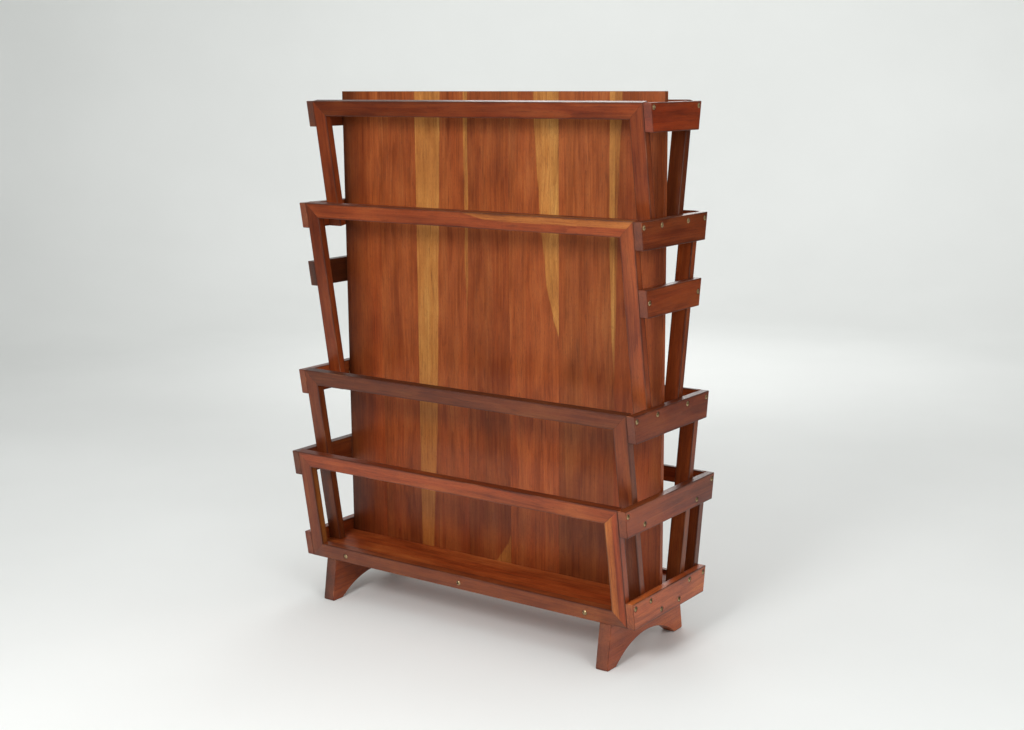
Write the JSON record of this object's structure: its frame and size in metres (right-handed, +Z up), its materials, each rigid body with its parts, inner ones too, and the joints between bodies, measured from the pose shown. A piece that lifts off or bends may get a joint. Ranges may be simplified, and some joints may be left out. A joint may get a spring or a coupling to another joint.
{
  "type": "magazine rack",
  "caption": "Free-standing double-sided wooden rack: leaning mitred frames in tiers on both sides of a tall middle panel, level end rails, a bottom shelf and arched feet.",
  "frame": {"origin": "on the floor, under the middle of the rack", "axes": "+X along the rack to the right end, +Y from the front to the back, +Z up"},
  "size_m": [0.5974, 0.246, 0.776],
  "materials": {
    "panel": "satin lacquer over reddish brown boards with pale sapwood stripes",
    "frame": "satin lacquer, reddish brown, straight grain",
    "end_rail": "satin lacquer, reddish brown, straight grain",
    "shelf": "satin lacquer, dark reddish brown",
    "foot": "satin lacquer, dark reddish brown",
    "screw": "dull, antiqued",
    "dowel": "plain beech"
  },
  "bodies": {
    "root": {"panel_board_1": "panel", "panel_board_2": "panel", "panel_board_3": "panel", "panel_board_4": "panel", "panel_board_5": "panel", "panel_board_6": "panel", "panel_board_7": "panel", "bottom_shelf": "shelf", "foot_board_left": "foot", "foot_board_right": "foot", "front_rail_1": "frame", "front_stile_left_1": "frame", "front_stile_right_1": "frame", "front_rail_2": "frame", "front_stile_left_2": "frame", "front_stile_right_2": "frame", "front_rail_3": "frame", "front_stile_left_3": "frame", "front_stile_right_3": "frame", "front_rail_4": "frame", "front_stile_left_4": "frame", "front_stile_right_4": "frame", "front_bottom_rail": "frame", "back_rail_1": "frame", "back_stile_left_1": "frame", "back_stile_right_1": "frame", "back_rail_2": "frame", "back_stile_left_2": "frame", "back_stile_right_2": "frame", "back_rail_3": "frame", "back_stile_left_3": "frame", "back_stile_right_3": "frame", "back_rail_4": "frame", "back_stile_left_4": "frame", "back_stile_right_4": "frame", "back_bottom_rail": "frame", "end_rail_left_1": "end_rail", "end_rail_left_2": "end_rail", "end_rail_left_middle": "end_rail", "end_rail_left_3": "end_rail", "end_rail_left_4": "end_rail", "end_rail_left_bottom": "end_rail", "end_rail_right_1": "end_rail", "end_rail_right_2": "end_rail", "end_rail_right_middle": "end_rail", "end_rail_right_3": "end_rail", "end_rail_right_4": "end_rail", "end_rail_right_bottom": "end_rail", "end_screws_left": "screw", "end_screws_right": "screw", "shelf_screws_front": "screw", "shelf_screws_back": "screw", "panel_screws": "screw", "panel_pins": "dowel", "foot_dowels": "dowel"}
  },
  "joints": []
}
